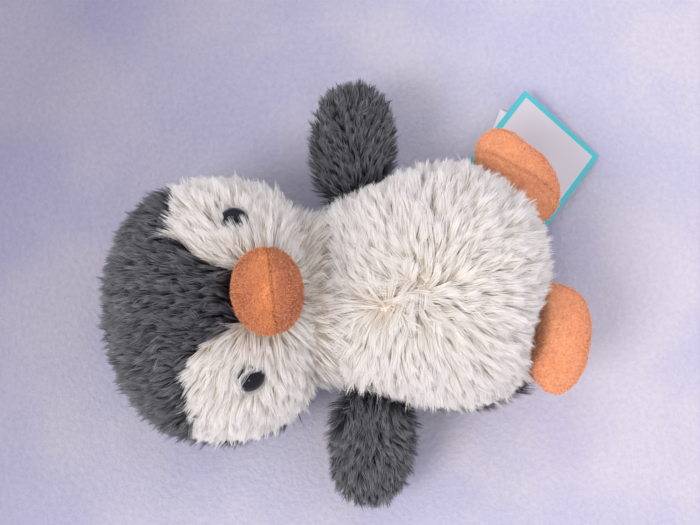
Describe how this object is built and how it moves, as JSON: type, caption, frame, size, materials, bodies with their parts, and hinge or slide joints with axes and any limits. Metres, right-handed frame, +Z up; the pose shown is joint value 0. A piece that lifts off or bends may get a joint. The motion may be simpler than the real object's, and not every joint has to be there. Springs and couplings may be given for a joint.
{
  "type": "plush penguin",
  "caption": "Soft stuffed penguin toy lying on its back, with long-pile fur, velour beak and feet, plastic eyes and a folded card tag.",
  "frame": {"origin": "middle of the flat patch of the back panel that the toy rests on", "axes": "+X from the crown of the head to the feet, +Y the penguin's left, +Z up out of its belly"},
  "size_m": [0.2287, 0.1794, 0.1096],
  "materials": {
    "cream_fur": "long pile",
    "grey_fur": "long pile",
    "orange_velour": "short pile",
    "stuffing": "loose fibre",
    "satin": "satin",
    "black_eye": "gloss",
    "washer_plastic": "matte",
    "nylon": "clear nylon",
    "card": "coated card with a teal border"
  },
  "bodies": {
    "torso": {"belly_panel": "cream_fur", "back_panel": "grey_fur", "base_panel": "grey_fur", "body_stuffing": "stuffing", "care_label": "satin", "tag_fastener": "nylon"},
    "neck_core": {"neck_stuffing": "stuffing"},
    "neck_seam": {"neck_seam_band": "cream_fur"},
    "head": {"crown_gusset": "grey_fur", "face_left": "cream_fur", "face_right": "cream_fur", "chin_panel": "cream_fur", "head_back_left": "grey_fur", "head_back_right": "grey_fur", "head_stuffing": "stuffing", "eye_left": "black_eye", "eye_right": "black_eye", "eye_washer_left": "washer_plastic", "eye_washer_right": "washer_plastic", "beak_upper": "orange_velour", "beak_lower": "orange_velour", "beak_stuffing": "stuffing"},
    "wing_left": {"wing_left_front": "grey_fur", "wing_left_back": "grey_fur", "wing_left_stuffing": "stuffing"},
    "wing_right": {"wing_right_front": "grey_fur", "wing_right_back": "grey_fur", "wing_right_stuffing": "stuffing"},
    "foot_left": {"foot_left_sole": "orange_velour", "foot_left_upper": "orange_velour", "foot_left_stuffing": "stuffing"},
    "foot_right": {"foot_right_sole": "orange_velour", "foot_right_upper": "orange_velour", "foot_right_stuffing": "stuffing"},
    "tag_back": {"tag_back_leaf": "card"},
    "tag_front": {"tag_front_leaf": "card"}
  },
  "joints": [
    {"name": "neck_turn", "type": "hinge", "parent": "torso", "child": "neck_core", "pos_m": [-0.05, 0, 0.042], "axis": [1, 0, 0], "range_deg": [-30, 30], "stiffness_Nm_per_rad": 0.3},
    {"name": "neck_nod", "type": "hinge", "parent": "neck_core", "child": "neck_seam", "pos_m": [-0.05, 0, 0.042], "axis": [0, 1, 0], "range_deg": [-12, 12], "stiffness_Nm_per_rad": 0.3},
    {"name": "neck_tilt", "type": "hinge", "parent": "neck_seam", "child": "head", "pos_m": [-0.05, 0, 0.042], "axis": [0, 0, 1], "range_deg": [-12, 12], "stiffness_Nm_per_rad": 0.3},
    {"name": "wing_left_flap", "type": "hinge", "parent": "torso", "child": "wing_left", "pos_m": [-0.029, 0.043, 0.042], "axis": [1, 0, 0], "range_deg": [-20, 25], "stiffness_Nm_per_rad": 0.05},
    {"name": "wing_right_flap", "type": "hinge", "parent": "torso", "child": "wing_right", "pos_m": [-0.029, -0.043, 0.042], "axis": [-1, 0, 0], "range_deg": [-12, 25], "stiffness_Nm_per_rad": 0.05},
    {"name": "foot_left_swing", "type": "hinge", "parent": "torso", "child": "foot_left", "pos_m": [0.03577, 0.03951, 0.04], "axis": [0.5446, -0.8387, 0], "range_deg": [-10, 18], "stiffness_Nm_per_rad": 0.05},
    {"name": "foot_right_swing", "type": "hinge", "parent": "torso", "child": "foot_right", "pos_m": [0.04167, -0.02659, 0.042], "axis": [-0.1736, -0.9848, 0], "range_deg": [-10, 18], "stiffness_Nm_per_rad": 0.05},
    {"name": "tag_swing", "type": "hinge", "parent": "torso", "child": "tag_back", "pos_m": [0.03487, 0.0585, 0.01456], "axis": [0.2079, 0, 0.9781], "range_deg": [-10, 10]},
    {"name": "tag_open", "type": "hinge", "parent": "tag_back", "child": "tag_front", "pos_m": [0.02865, 0.0585, 0.01588], "axis": [0.6917, -0.7071, -0.147], "range_deg": [0, 8]}
  ]
}
